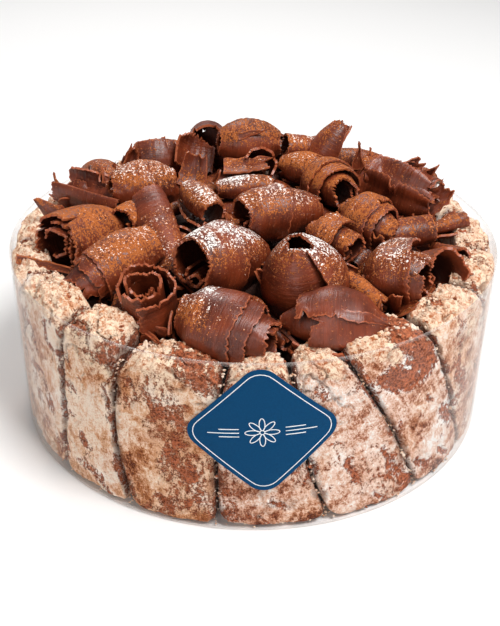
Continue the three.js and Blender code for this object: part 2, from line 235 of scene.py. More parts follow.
# Shards that stand out of the heap: base, heading, rise, spin, length, width, tip, bend, seed.
SHARDS = [
    ("left_petal", -79, -2, 76, 180, 40, 75, 15, 14, 0.15, 0.3, 1),
    ("left_spike_a", -84, 22, 80, 150, 50, 75, 9, 5, 0.05, 0.5, 2),
    ("left_spike_b", -68, 27, 83, 110, 62, 80, 8, 2.4, 0.2, 1.2, 3),
    ("left_spike_c", -65, 26, 83, 80, 70, 40, 8, 2.4, 0.2, -0.9, 4),
    ("upright_a", -72, 36, 74, 150, 62, 40, 12, 6, 0.0, 0.5, 5),
    ("upright_b", -66, 40, 75, 40, 60, 30, 12, 7, 0.1, 0.5, 6),
    ("standing_flat", -56, 44, 80, 70, 62, 20, 13, 9, 0.2, 0.7, 7),
    ("crown_sliver", -7, 42, 99, 5, 12, 60, 15, 3.6, 0.0, 0.3, 8),
    ("smooth_lobe", -27, 19, 84, 80, 35, 10, 15, 13, 0.7, 0.9, 9),
    ("slab", -13, 25, 91, 0, 2, 25, 19, 9, 0.9, 0.2, 10),
    ("right_spike", 54, 42, 80, 60, 55, 40, 11, 5, 0.0, 0.5, 11),
    ("right_needle", 60, 38, 88, 2, 6, 60, 12, 2.2, 0.1, 0.2, 12),
    ("right_lobe", 62, 36, 82, 20, 25, 70, 15, 10, 0.8, 0.4, 13),
    ("right_horn", 72, 32, 80, 10, 45, 60, 14, 8, 0.1, 0.6, 14),
    ("right_flap", 74, 17, 76, 20, 42, 60, 14, 11, 0.7, 0.5, 15),
    ("pointed_a", 48, 52, 80, 80, 75, 10, 12, 6, 0.0, 0.2, 16),
    ("pointed_b", 53, 54, 79, 70, 65, 10, 10, 6, 0.0, 0.2, 17),
    ("brown_piece", 48, -58, 68, 330, 18, 10, 14, 9, 0.6, 0.5, 18),
    ("rim_strip", -93, -29, 74.4, 343, -2, 75, 26, 3.4, 0.6, 0.15, 19),
    ("gap_shaving_a", -46, -70, 74, 335, -24, 60, 17, 2.4, 0.4, 0.5, 20),
    ("gap_shaving_b", -41, -72, 73, 350, -16, 40, 14, 2.2, 0.3, -0.6, 21),
    ("gap_shaving_c", -30, -76, 70, 95, 70, 60, 8, 2.2, 0.3, 0.3, 22),
    ("crown_backing", -22, 68, 80, 90, 80, 0, 13, 17, 0.8, 0.2, 23),
    ("hook_tip", 36, 46, 95, 10, 60, 50, 12, 8, 0.15, -1.3, 24),
]

# ---- the crust of the fingers ----
# Strokes over it: heading and height of the start, of the end, then half width and strength.
BARE_STROKES = [
    (-58, 76, -50.5, 60, 5.5, 1),
    (-61, 61, -56, 55, 5, 1),
    (-54, 66, -52, 58, 6, 1),
    (-61.5, 28, -58.5, 19, 3, 0.75),
    (-58, 19, -53, 4, 4.6, 0.75),
    (-69, 26, -67.5, 17, 3, 0.75),
    (-63.5, 8, -60, 2, 2.6, 0.75),
    (-49.5, 45, -48.5, 41, 1.6, 0.75),
    (-58, 38, -57.4, 36, 1.4, 0.75),
    (-43, 33, -38, 24, 4.5, 0.75),
    (-50.5, 14, -47, 9, 2.4, 0.75),
    (-42, 12, -38, 6, 2.2, 0.75),
    (-38, 44, -33, 33, 5, 0.75),
    (-86, 13, -82, 8, 2, 0.68),
    (-90, 6, -86, 3, 2, 0.68),
    (-105, 72, -98.5, 63, 6.5, 0.72),
    (-109, 52, -105, 46, 4, 0.72),
    (-108, 34, -104.5, 23, 4.5, 0.72),
    (-104, 24, -101, 12, 5, 0.72),
    (-111, 9, -107, 4, 2, 0.72),
    (-118, 70, -120.3, 58, 2.6, 0.68),
    (-122, 52, -121, 42, 2.6, 0.68),
    (-116, 60, -114, 52, 2, 0.68),
    (-118, 12, -116, 6, 2.6, 0.68),
    (-130, 25, -129, 20, 1.6, 0.68),
    (-141, 66, -139, 58, 2.2, 0.68),
    (-134.5, 58, -129, 51.5, 0.8, 0.68),
    (-146, 40, -142, 27, 3.4, 0.68),
    (-140.5, 12, -138.5, 8, 3, 0.68),
    (-150, 60, -147, 50, 3, 0.68),
    (172, 60, 178, 40, 5, 0.68),
    (150, 30, 156, 12, 5, 0.68),
    (120, 70, 128, 55, 6, 0.68),
    (96, 40, 92, 20, 5, 0.68),
    (60, 66, 66, 50, 5, 0.68),
    (30, 30, 22, 10, 6, 0.68),
    (2, 60, 8, 44, 6, 0.68),
    (-12, 24, -6, 8, 5, 0.68),
    (-109, 56, -103, 12, 10, 0.5),
    (-62, 24, -54, 6, 10, 0.42),
    (-98, 30, -94, 4, 8, 0.42),
    (-152, 60, -146, 14, 6, 0.45),
    (40, 60, 46, 20, 9, 0.48),
    (100, 56, 108, 20, 9, 0.48),
    (160, 50, 164, 12, 9, 0.48),
    (-84, 60, -79, 20, 6, 0.46),
    (-40, 62, -34, 20, 7, 0.46),
]
CUSTARD_STROKES = [
    (-109.5, 67, -109, 59, 2.4, 1),
    (-62.5, 76, -60.5, 67, 3, 1),
    (-103.5, 76, -101, 70, 3, 1),
    (-131, 72, -126, 62, 5, 1),
    (-123, 70, -121, 58, 2.4, 1),
    (-147.5, 7, -144, 6, 2, 1),
    (-36, 70, -34, 60, 3, 1),
    (140, 70, 146, 60, 5, 1),
    (75, 72, 80, 62, 4, 1),
    (10, 72, 14, 60, 4, 1),
]
# How far each finger's crust is smooth and beige instead of white and grainy, 0 to 1.
TAN = (0.1, 0.15, 0.6, 0.4, 0.8, 0.1, 0.3, 0.9, 0.2, 0.3, 0.7, 0.2, 0.5, 0.8, 0.7, 1, 1, 0.2)
# How much whiter or browner each finger's sugar is.
WHITE = (
    -0.14, -0.09, -0.16, -0.14, -0.05, -0.1, -0.14, 0, -0.08, -0.04, -0.15, -0.06, -0.02, -0.1, -0.03,
    0.02, -0.18, -0.16,
)
WHITE_LEVEL = -0.14  # added to all of them
FINGER_CELLS = 36  # across a finger, and twice as many up it
FINGER_SQUARENESS = 13  # 2 is an ellipsoid, and a box is past all numbers
SEAM_CRUMBS = 70  # in each seam
FOOT_CRUMBS = 500
TOP_CRUMBS = 1500
STROKE_REACH = 24  # degrees from a finger's seam within which a stroke is looked for
ABOVE_TOPS = 90  # mm up, from where crumbs fall onto the tops


# ---- the studio, in metres and watts ----
SOFTBOXES = [
    ("key_softbox", (0.42, -0.4, 1.05), 0.42, 14.0),
    ("fill_softbox", (-0.45, -1.15, 0.5), 0.5, 3.4),
    ("back_softbox", (-0.2, 0.75, 0.85), 0.5, 5.0),
]
LIT_PLACE = Vector((0, 0, 0.07))
SKY_STRENGTH = 0.22
LENS = 53.94  # mm, on a sensor of 36 mm
CAMERA_PLACE = (-0.003, -0.35459, 0.24748)
CAMERA_AHEAD = (0.00478, 0.85571, -0.51743)
CAMERA_ROLL = 0.69  # degrees


def linear(code):
    """An sRGB hex colour as linear red, green, blue and alpha."""
    channels = [int(code[n : n + 2], 16) / 255 for n in (1, 3, 5)]
    lit = [c / 12.92 if c <= 0.04045 else ((c + 0.055) / 1.055) ** 2.4 for c in channels]
    return (*lit, 1)


def add(tree, kind, inputs=(), out=0, **settings):
    """Adds a node with its settings, and with values or links on its inputs, and gives the
    output that is asked for. A node without outputs gives itself."""
    node = tree.nodes.new("ShaderNode" + kind)
    for setting, value in settings.items():
        setattr(node, setting, value)
    for socket, value in dict(inputs).items():
        if isinstance(value, bpy.types.NodeSocket):
            tree.links.new(value, node.inputs[socket])
        else:
            node.inputs[socket].default_value = value
    return node.outputs[out] if node.outputs else node


def new_material(name):
    """An empty material and its node tree."""
    material = bpy.data.materials.new(name)
    material.use_nodes = True
    material.node_tree.nodes.clear()
    return material, material.node_tree


def clamp(value):
    return min(1, max(0, value))


def smooth(low, high, value):
    """0 below low, 1 above high, and a smooth step in between."""
    t = clamp((value - low) / (high - low))
    return t * t * (3 - 2 * t)


def mix(a, b, share):
    """A value between two, at a share of the way."""
    return a + (b - a) * share


def fractal(place, size, octaves=3):
    """Layered noise about 0, with features of that size in mm."""
    return noise.fractal(place / size, 0.9, 2.1, octaves)


def round_place(radius, angle, height):
    """A place at a distance and an angle, in radians, round the cake's middle."""
    return Vector((radius * math.cos(angle), radius * math.sin(angle), height))


def floats(bm, *names):
    """New layers for one number at each vertex, in the order of their names."""
    return [bm.verts.layers.float.new(name) for name in names]


def join(bm, other):
    """Moves another mesh into this one."""
    mesh = bpy.data.meshes.new("joined")
    other.to_mesh(mesh)
    other.free()
    bm.from_mesh(mesh)
    bpy.data.meshes.remove(mesh)


def make_piece(name, bm, material, slot, *nodes, sharp=None):
    """A bmesh in millimetres as a finished piece in metres, riding on the cake."""
    bmesh.ops.transform(bm, matrix=Matrix.Scale(MM, 4), verts=bm.verts)
    mesh = bpy.data.meshes.new(name)
    bm.to_mesh(mesh)
    bm.free()
    mesh.shade_smooth()
    if sharp:
        mesh.set_sharp_from_angle(angle=math.radians(sharp))
    mesh.materials.append(material)
    piece = bpy.data.objects.new(name, mesh)
    bpy.context.scene.collection.objects.link(piece)
    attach(piece, "root")
    if nodes:
        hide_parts(*nodes)
    return piece


# ---- materials ----
def scraped_chocolate():
    """Dark tempered chocolate scraped off a slab: satin, with fine lines along the scrape and
    paler torn edges. Cocoa powder and icing sugar lie on it where the attributes say. Painted
    shade darkens it where it lies deep in the heap."""
    material, tree = new_material("scraped_chocolate")
    place = add(tree, "TexCoord", out="Object")
    roll = add(tree, "Attribute", attribute_name="roll", out="Vector")
    cocoa, sugar, torn, deep = (
        add(tree, "Attribute", attribute_name=name, out="Fac")
        for name in ("cocoa", "sugar", "torn", "deep")
    )

    # lines of the scrape run round the roll, about 0.7 mm apart
    along = add(tree, "VectorMath", {0: roll, 1: (0.09, 0.9, 0.2)}, operation="MULTIPLY")
    lines = add(tree, "TexNoise", {"Vector": along, "Scale": 1.6, "Detail": 4.0})
    tone = add(tree, "TexNoise", {"Vector": place, "Scale": 90.0, "Detail": 5.0})
    shade = add(tree, "Math", {0: lines, 1: 0.4, 2: tone}, operation="MULTIPLY_ADD")
    shade = add(tree, "MapRange", {"Value": shade, "From Min": 0.5, "From Max": 0.9})
    plain = add(
        tree, "Mix", {0: shade, 6: linear("#4b1908"), 7: linear("#86391c")}, data_type="RGBA", out=2
    )

    # powders, drawn coarser than real ones so that they show: grains of 1 mm and 0.4 mm, and
    # drifts that follow the lines
    grain = add(tree, "TexNoise", {"Vector": place, "Scale": 1000.0, "Detail": 3.0, "Roughness": 0.7})
    fine = add(tree, "TexNoise", {"Vector": place, "Scale": 2300.0, "Detail": 2.0, "Roughness": 0.6})
    drift = add(tree, "TexNoise", {"Vector": along, "Scale": 0.9, "Detail": 3.0, "Roughness": 0.65})
    bits = -2.15
    for part, weight in ((grain, 2.1), (fine, 1.2), (drift, 0.9)):
        bits = add(tree, "Math", {0: part, 1: weight, 2: bits}, operation="MULTIPLY_ADD")

    edge = add(tree, "Math", {0: bits, 1: 1.2, 2: torn}, operation="MULTIPLY_ADD")
    edge = add(tree, "MapRange", {"Value": edge, "From Min": 0.3, "From Max": 0.8, "To Max": 0.85})
    plain = add(tree, "Mix", {0: edge, 6: plain, 7: linear("#ad5a37")}, data_type="RGBA", out=2)

    loose = add(tree, "Math", {0: bits, 1: 1.4, 2: cocoa}, operation="MULTIPLY_ADD")
    powder = add(
        tree,
        "MapRange",
        {"Value": loose, "From Min": 0.5, "From Max": 0.68, "To Max": 0.95},
        interpolation_type="SMOOTHSTEP",
    )
    cocoa_colour = add(
        tree, "Mix", {0: fine, 6: linear("#6c2a0e"), 7: linear("#e0864a")}, data_type="RGBA", out=2
    )
    dusted = add(tree, "Mix", {0: powder, 6: plain, 7: cocoa_colour}, data_type="RGBA", out=2)

    heap = add(tree, "Math", {0: bits, 1: 1.1, 2: sugar}, operation="MULTIPLY_ADD")
    icing = add(
        tree,
        "MapRange",
        {"Value": heap, "From Min": 0.6, "From Max": 0.74},
        interpolation_type="SMOOTHSTEP",
    )
    colour = add(tree, "Mix", {0: icing, 6: dusted, 7: linear("#faf4ee")}, data_type="RGBA", out=2)

    # painted shade: the colour goes towards near black where the deep attribute says the place is shut in
    # the heap
    shaded = add(tree, "MapRange", {"Value": deep, "From Min": 0.2, "To Max": 0.75})
    colour = add(tree, "Mix", {0: shaded, 6: colour, 7: linear("#140502")}, data_type="RGBA", out=2)

    cover = add(tree, "Math", {0: powder, 1: icing}, operation="MAXIMUM")
    roughness = add(tree, "MapRange", {"Value": cover, "To Min": 0.4, "To Max": 0.95})
    gloss = add(tree, "MapRange", {"Value": cover, "To Min": 0.55, "To Max": 0.05})
    relief = add(tree, "Math", {0: cover, 1: 1.2, 2: lines}, operation="MULTIPLY_ADD")
    normal = add(tree, "Bump", {"Strength": 0.55, "Distance": 0.0004, "Height": relief})
    shader = add(
        tree,
        "BsdfPrincipled",
        {"Base Color": colour, "Roughness": roughness, "Specular IOR Level": gloss, "Normal": normal},
    )
    add(tree, "OutputMaterial", {"Surface": shader})
    return material


def baked_sponge():
    """Sponge finger: a white crust of baked sugar over pink and brown crumb, orange and cream
    where it is tan, broken open to red brown crumb where bare, and lumpy cream where custard is.
    Painted shade darkens its cracks, pits and seams, and painted light and shade make it paler
    towards the tops and darker near the foot."""
    material, tree = new_material("baked_sponge")
    place = add(tree, "TexCoord", out="Object")
    lie = add(tree, "Attribute", attribute_name="lie", out="Vector")
    bare, tan, white, custard, hollow_shade = (
        add(tree, "Attribute", attribute_name=name, out="Fac")
        for name in ("bare", "tan", "white", "custard", "hollow_shade")
    )

    # zones of 16 mm, patches of 6 mm, streaks along the finger, flecks of 2 mm, grains of 0.7 mm
    zone = add(tree, "TexNoise", {"Vector": place, "Scale": 62.0, "Detail": 2.0})
    patch = add(
        tree,
        "TexNoise",
        {"Vector": place, "Scale": 165.0, "Detail": 3.0, "Roughness": 0.6, "Distortion": 0.8},
    )
    streak = add(tree, "TexNoise", {"Vector": lie, "Scale": 0.9, "Detail": 3.0, "Roughness": 0.6})
    fleck = add(
        tree,
        "TexNoise",
        {"Vector": place, "Scale": 480.0, "Detail": 3.0, "Roughness": 0.65, "Distortion": 0.5},
    )
    grain = add(tree, "TexNoise", {"Vector": place, "Scale": 1500.0, "Detail": 3.0, "Roughness": 0.7})

    # ragged: about 0, from the small ones, to break up edges; level: how white the crust is
    ragged = -1.75
    for part, weight in ((patch, 1.1), (fleck, 0.8), (grain, 1.0), (streak, 0.6)):
        ragged = add(tree, "Math", {0: part, 1: weight, 2: ragged}, operation="MULTIPLY_ADD")
    rim = add(tree, "Math", {0: ragged, 1: -1.1, 2: bare}, operation="MULTIPLY_ADD")
    pale_rim = add(tree, "MapRange", {"Value": rim, "From Min": 0.2, "From Max": 0.45, "To Max": 0.12})
    level = add(tree, "Math", {0: zone, 1: 1.2, 2: pale_rim}, operation="MULTIPLY_ADD")
    # the white attribute holds each finger's sugar tone and the painted light and shade by height
    level = add(tree, "Math", {0: level, 1: white}, operation="ADD")
    level = add(tree, "Math", {0: ragged, 1: 1.05, 2: level}, operation="MULTIPLY_ADD")

    # brown crumb, tan, pink cream and white sugar; and the oranges and creams of a tan finger
    sugary = add(tree, "ValToRGB", {"Fac": level})
    toasted = add(tree, "ValToRGB", {"Fac": level})
    for ramp, codes in (
        (sugary, ("#5c2a17", "#98573c", "#cb9274", "#e6bea8", "#f4dacb", "#fffaf5")),
        (toasted, ("#642a0e", "#9c562a", "#c47f50", "#dda37a", "#f0c5a3", "#ffe8d3")),
    ):
        for spot, code in zip((0.12, 0.24, 0.36, 0.5), codes[1:5]):
            ramp.node.color_ramp.elements.new(spot).color = linear(code)
        ramp.node.color_ramp.elements[0].color = linear(codes[0])
        ramp.node.color_ramp.elements[-1].color = linear(codes[5])
        ramp.node.color_ramp.elements[-1].position = 0.7
    crust = add(tree, "Mix", {0: tan, 6: sugary, 7: toasted}, data_type="RGBA", out=2)

    # the cream of the tops: lumps with orange between them
    lump = add(tree, "Math", {0: grain, 1: 0.6, 2: fleck}, operation="MULTIPLY_ADD")
    lump = add(tree, "MapRange", {"Value": lump, "From Min": 0.62, "From Max": 0.9})
    cream = add(tree, "Mix", {0: lump, 6: linear("#b3602a"), 7: linear("#ffe4c6")}, data_type="RGBA", out=2)
    creamy = add(tree, "Math", {0: ragged, 1: 0.9, 2: custard}, operation="MULTIPLY_ADD")
    creamy = add(
        tree,
        "MapRange",
        {"Value": creamy, "From Min": 0.3, "From Max": 0.7, "To Max": 0.9},
        interpolation_type="SMOOTHSTEP",
    )
    crust = add(tree, "Mix", {0: creamy, 6: crust, 7: cream}, data_type="RGBA", out=2)

    # the crumb where the crust is off: its own red brown with pale grains, and pits painted dark as shade
    broken = add(
        tree,
        "MapRange",
        {"Value": rim, "From Min": 0.4, "From Max": 0.62, "To Max": 0.95},
        interpolation_type="SMOOTHSTEP",
    )
    crumb = add(tree, "TexVoronoi", {"Vector": place, "Scale": 900.0, "Randomness": 1.0})
    crumb = add(tree, "Math", {0: grain, 1: 1.6, 2: crumb}, operation="MULTIPLY_ADD")
    crumb = add(tree, "MapRange", {"Value": crumb, "From Min": 0.85, "From Max": 1.75})
    inside = add(
        tree, "Mix", {0: crumb, 6: linear("#52190a"), 7: linear("#d0744a")}, data_type="RGBA", out=2
    )
    colour = add(tree, "Mix", {0: broken, 6: crust, 7: inside}, data_type="RGBA", out=2)
    # painted shade: cracks, pits and the seams are darkened towards deep brown
    colour = add(tree, "Mix", {0: hollow_shade, 6: colour, 7: linear("#4f1e0a")}, data_type="RGBA", out=2)

    height = add(tree, "Math", {0: broken, 1: -0.7, 2: level}, operation="MULTIPLY_ADD")
    normal = add(tree, "Bump", {"Strength": 0.7, "Distance": 0.0011, "Height": height})
    shader = add(
        tree,
        "BsdfPrincipled",
        {"Base Color": colour, "Roughness": 0.9, "Specular IOR Level": 0.2, "Normal": normal},
    )
    add(tree, "OutputMaterial", {"Surface": shader})
    return material


def chocolate_mousse():
    """Dark mousse set in a mould: matt and close, with crumbs of cocoa on its top."""
    material, tree = new_material("chocolate_mousse")
    place = add(tree, "TexCoord", out="Object")
    grain = add(tree, "TexNoise", {"Vector": place, "Scale": 500.0, "Detail": 5.0, "Roughness": 0.7})
    colour = add(
        tree, "Mix", {0: grain, 6: linear("#1d0c07"), 7: linear("#5b3020")}, data_type="RGBA", out=2
    )
    normal = add(tree, "Bump", {"Strength": 0.6, "Distance": 0.0008, "Height": grain})
    shader = add(tree, "BsdfPrincipled", {"Base Color": colour, "Roughness": 0.8, "Normal": normal})
    add(tree, "OutputMaterial", {"Surface": shader})
    return material


def clear_acetate():
    """Clear cast film: next to nothing seen straight on, a pale gloss where it turns away,
    and a faint grey cut edge."""
    material, tree = new_material("clear_acetate")
    cut = add(tree, "Attribute", attribute_name="cut", out="Fac")
    facing = add(tree, "LayerWeight", {"Blend": 0.35}, out="Facing")
    haze = add(
        tree,
        "MapRange",
        {"Value": facing, "From Min": 0.35, "From Max": 1.0, "To Min": 0.008, "To Max": 0.5},
        interpolation_type="SMOOTHSTEP",
    )
    body = add(tree, "Math", {0: haze, 1: cut}, operation="MAXIMUM")
    shader = add(
        tree,
        "BsdfPrincipled",
        {"Base Color": linear("#d5ccc6"), "Roughness": 0.06, "Alpha": body, "Specular IOR Level": 0.2},
    )
    add(tree, "OutputMaterial", {"Surface": shader})
    return material


def coated_paper():
    """Printed sticker paper: an even blue ink under a satin coat. Its fibres are drawn coarser
    than real ones so that they show."""
    material, tree = new_material("coated_paper")
    place = add(tree, "TexCoord", out="Object")
    fibre = add(tree, "TexNoise", {"Vector": place, "Scale": 1500.0, "Detail": 2.0})
    ink = add(tree, "Mix", {0: fibre, 6: linear("#00365a"), 7: linear("#00446e")}, data_type="RGBA", out=2)
    shader = add(tree, "BsdfPrincipled", {"Base Color": ink, "Roughness": 0.5, "Specular IOR Level": 0.08})
    add(tree, "OutputMaterial", {"Surface": shader})
    return material


def plain_surface(name, colour, roughness):
    """White print or the studio floor: one even matt colour with a fine grain."""
    material, tree = new_material(name)
    place = add(tree, "TexCoord", out="Object")
    grain = add(tree, "TexNoise", {"Vector": place, "Scale": 800.0, "Detail": 2.0})
    normal = add(tree, "Bump", {"Strength": 0.1, "Distance": 0.0001, "Height": grain})
    shader = add(
        tree, "BsdfPrincipled", {"Base Color": linear(colour), "Roughness": roughness, "Normal": normal}
    )
    add(tree, "OutputMaterial", {"Surface": shader})
    return material


# ---- the mousse ----
def core_height(radius):
    """The mousse's top at a distance from its middle: a low dome."""
    return CORE_CROWN - (CORE_CROWN - CORE_RIM) * (radius / CORE_RADIUS) ** 2


def mousse_core(material):
    """The mousse inside the ring of fingers, with an uneven mound on top."""
    bm = bmesh.new()
    rings = 30
    profile = [bm.verts.new((0, 0, 0)), bm.verts.new((CORE_RADIUS, 0, 0))]
    for n in range(rings + 1):
        radius = CORE_RADIUS * (1 - n / rings)
        profile.append(bm.verts.new((radius, 0, core_height(radius))))
    edges = [bm.edges.new(pair) for pair in zip(profile, profile[1:])]
    bmesh.ops.spin(
        bm, geom=profile + edges, cent=(0, 0, 0), axis=UP, angle=2 * math.pi, steps=120, use_merge=True
    )
    bmesh.ops.remove_doubles(bm, verts=bm.verts, dist=0.01)
    bmesh.ops.recalc_face_normals(bm, faces=bm.faces)
    for vert in bm.verts:
        if vert.co.z > CORE_RIM - 1:
            vert.co.z += 1.2 * fractal(vert.co, 9) - 0.6
    return make_piece("mousse", bm, material, "mousse", "mousse_core")


# ---- the sponge fingers ----
def seam_angle(i, height):
    """The heading of a seam at a height, on the curve through its three known places."""
    foot, middle, top = (angle + 360 * (i // FINGER_COUNT) for angle in SEAMS[i % FINGER_COUNT])
    t = height / COLLAR_HEIGHT
    return foot * (1 - t) * (1 - 2 * t) + middle * 4 * t * (1 - t) + top * t * (2 * t - 1)


def on_film(heading, height):
    """A place on the unrolled film, in mm."""
    return Vector((math.radians(heading) * COLLAR_RADIUS, height))


def near_strokes(strokes, heading, height):
    """A stroke's strength on its line, half of that at its half width and 0 well past it."""
    place = on_film((heading + 180) % 360 - 180, height)
    nearest = 0
    for heading_a, height_a, heading_b, height_b, half_width, strength in strokes:
        start, end = on_film(heading_a, height_a), on_film(heading_b, height_b)
        run = end - start
        share = clamp((place - start).dot(run) / run.length_squared)
        distance = (place - start - run * share).length
        fade = min(5, half_width * 1.2)
        cover = 1 - smooth(half_width - fade, half_width + fade, distance)
        nearest = max(nearest, strength * cover)
    return nearest


def strokes_of(strokes, i):
    """The strokes that can reach a finger."""
    low = seam_angle(i, COLLAR_HEIGHT / 2) - STROKE_REACH
    span = 360 / FINGER_COUNT + 2 * STROKE_REACH
    near = []
    for stroke in strokes:
        if any((heading - low) % 360 < span for heading in (stroke[0], stroke[2])):
            near.append(stroke)
    return near


def fine_cube():
    """A cube from -1 to 1 in fine cells, with twice as many up it as across."""
    bm = bmesh.new()
    bmesh.ops.create_cube(bm, size=2)
    upright = [edge for edge in bm.edges if edge.verts[0].co.z != edge.verts[1].co.z]
    bmesh.ops.subdivide_edges(bm, edges=upright, cuts=1, use_grid_fill=True)
    bmesh.ops.subdivide_edges(bm, edges=bm.edges[:], cuts=FINGER_CELLS - 1, use_grid_fill=True)
    return bm


def rounded(point):
    """A point of that cube moved onto a block with rounded edges and corners."""
    power = FINGER_SQUARENESS
    across, deep, tall = point
    norm = (abs(across) ** power + abs(deep) ** power + abs(tall) ** power) ** (1 / power)
    return across / norm, deep / norm, tall / norm


def cracks_and_pits(i, place, height, bareness):
    """How far a place on a finger is in a crack of the crust, and in a pit of the bare crumb."""
    crease = abs(noise.noise(place / 8 + Vector((5, 3, i))))
    crack = (1 - smooth(0.01, 0.08, crease)) * smooth(-0.1, 0.2, fractal(place, 22, 1))
    crack *= mix(0.4, 1, smooth(40, 58, height))
    cell = noise.voronoi(place / 2.6)[0][0]
    pit = (1 - smooth(0.12, 0.34, cell)) * smooth(0.45, 0.8, bareness)
    return crack, pit


def sponge_finger(i, material):
    """One finger of the wall: a squared block between its two seams, with a rounded, lumpy tip."""
    bare_strokes = strokes_of(BARE_STROKES, i)
    custard_strokes = strokes_of(CUSTARD_STROKES, i)
    bm = fine_cube()
    bare, tan, white, custard, hollow_shade = floats(bm, "bare", "tan", "white", "custard", "hollow_shade")
    lie = bm.verts.layers.float_vector.new("lie")
    bottom = FINGER_FOOT * (1.2 + 0.8 * math.sin(2.3 * i)) / 2
    top = FINGER_TOPS[i]
    seam = math.degrees(FINGER_SEAM / FINGER_OUTER)
    film_face = INSIDE_FILM - 0.3
    for vert in bm.verts:
        across, deep, tall = rounded(vert.co)
        height = mix(bottom, top, (tall + 1) / 2)
        height -= 4 * smooth(0.6, 1, tall) * abs(across) ** 3
        height -= 3 * smooth(0.8, 1, tall) * smooth(0.2, 1, deep)
        height += 2 * smooth(0.8, 1, -tall) * abs(across) ** 6
        left = seam_angle(i, height) + seam / 2
        right = seam_angle(i + 1, height) - seam / 2
        heading = mix(left, right, (across + 1) / 2)
        radius = FINGER_OUTER - FINGER_DEPTH * (1 - deep) / 2
        angle = math.radians(heading)
        place = round_place(radius, angle, height)

        # strokes are looked up a few mm away, so that their edges wander
        astray = 1.6 * noise.noise(place / 7), 2.6 * noise.noise(place / 7 + Vector((9, 2, 4)))
        worn = near_strokes(bare_strokes, heading + astray[0], height + astray[1])
        patchy = (0.42 + 0.15 * TAN[i]) * smooth(0, 0.6, fractal(place + Vector((40, 0, 7)), 15, 2))
        edges = 0.6 * smooth(0.84, 1.0, abs(across) + 0.2 * fractal(place, 11, 2))
        vert[bare] = max(worn, patchy, edges)
        vert[tan] = clamp(TAN[i] + 0.55 * fractal(place, 20, 2))
        # painted light and shade: the crust is paler towards the tops, where light from above falls, and
        # darker near the foot; this goes into the white attribute with each finger's own sugar tone
        pale = 0.17 * smooth(48, 72, height) - 0.07 * smooth(32, 6, height)
        vert[white] = WHITE[i] + pale + WHITE_LEVEL
        vert[custard] = max(
            near_strokes(custard_strokes, heading + astray[0], height + astray[1]),
            smooth(top - 9, top - 1, height + 5 * fractal(place, 8, 2)),
        )
        vert[lie] = (across * 16, height * 0.28, 7 * i)

        # cracks, pits and the seams, with the painted shade that darkens them, and how far they sink the
        # crust
        crack, pit = cracks_and_pits(i, place, height, vert[bare])
        seam_shade = 0.6 * smooth(0.87, 1.0, abs(across) + 0.12 * fractal(place, 6, 2))
        vert[hollow_shade] = max(0.55 * crack, 0.75 * pit, seam_shade)
        sunk = 0.1 + 1.2 * fractal(place, 12) + 0.7 * fractal(place, 2.8, 3)
        sunk += 1.2 * crack + 1.1 * pit + 0.6 * smooth(0.35, 0.7, worn)
        if deep > 0.3:
            radius = min(radius + 0.9 - max(0, sunk), film_face)

        # the lumps of the tip
        ridges = 0.8 - 3 * abs(noise.noise(place / 4.5)) + fractal(place, 2.2, 2)
        lift = smooth(0.7, 1, tall) * (1.3 * fractal(place, 7, 4) + 0.8 * ridges - crack)
        vert.co = round_place(radius, angle, height + lift)
    bmesh.ops.recalc_face_normals(bm, faces=bm.faces)
    node = f"sponge_finger_{i + 1:02d}"
    return make_piece(f"finger_{i + 1:02d}", bm, material, "sponge", node)


def crumb_spots(lots, fingers):
    """Heading, distance from the middle, height and size of each loose crumb: in the seams,
    along the foot and on the finger tops."""
    spots = []
    for i in range(FINGER_COUNT):
        for _ in range(SEAM_CRUMBS):
            height = lots.uniform(1, 68)
            heading = seam_angle(i, height) + lots.gauss(0, 0.5)
            spots.append((heading, lots.uniform(94, 98.6), height, lots.uniform(0.35, 0.9)))
    for _ in range(FOOT_CRUMBS):
        height = lots.uniform(0.5, 3)
        spots.append((lots.uniform(0, 360), lots.uniform(96, 99), height, lots.uniform(0.3, 0.7)))
    tops = []
    for finger in fingers:
        vertices = [vert.co / MM for vert in finger.data.vertices]
        faces = [tuple(face.vertices) for face in finger.data.polygons]
        tops.append(BVHTree.FromPolygons(vertices, faces))
    for _ in range(TOP_CRUMBS):
        heading = lots.uniform(0, 360)
        radius = lots.triangular(82.5, 98.5, 88)
        angle = math.radians(heading)
        start = round_place(radius, angle, ABOVE_TOPS)
        hits = [tree.ray_cast(start, -UP, 25)[0] for tree in tops]
        hits = [hit.z for hit in hits if hit]
        if hits:
            spots.append((heading, radius, max(hits) + 0.1, lots.triangular(0.25, 1.2, 0.35)))
    return spots


def crumbs(material, fingers):
    """Loose crumbs and flakes of crust, flattened and turned at random."""
    lots = random.Random(3)
    bm = bmesh.new()
    bare, tan, white, custard = floats(bm, "bare", "tan", "white", "custard")
    lie = bm.verts.layers.float_vector.new("lie")
    for heading, radius, height, size in crumb_spots(lots, fingers):
        angle = math.radians(heading)
        made = bmesh.ops.create_icosphere(bm, subdivisions=1, radius=size)["verts"]
        kind = lots.random()
        turn = Matrix.Rotation(lots.uniform(0, 6), 3, "X") @ Matrix.Rotation(lots.random() * 6, 3, "Z")
        middle = round_place(radius, angle, height)
        for vert in made:
            vert.co *= 1 + lots.uniform(-0.3, 0.3)
            vert.co.z *= 0.55
            vert.co = turn @ vert.co + middle
            out = vert.co.xy.length
            if out > INSIDE_FILM - 0.25:
                vert.co.xy *= (INSIDE_FILM - 0.25) / out
            vert.co.z = max(vert.co.z, 0.1)
            vert[bare] = 1 if kind < 0.12 else 0
            vert[tan] = 1 if kind > 0.6 else 0
            vert[white] = 0.05
            vert[custard] = 1 if kind < 0.6 else 0
            vert[lie] = vert.co
    make_piece("sponge_crumbs", bm, material, "sponge")


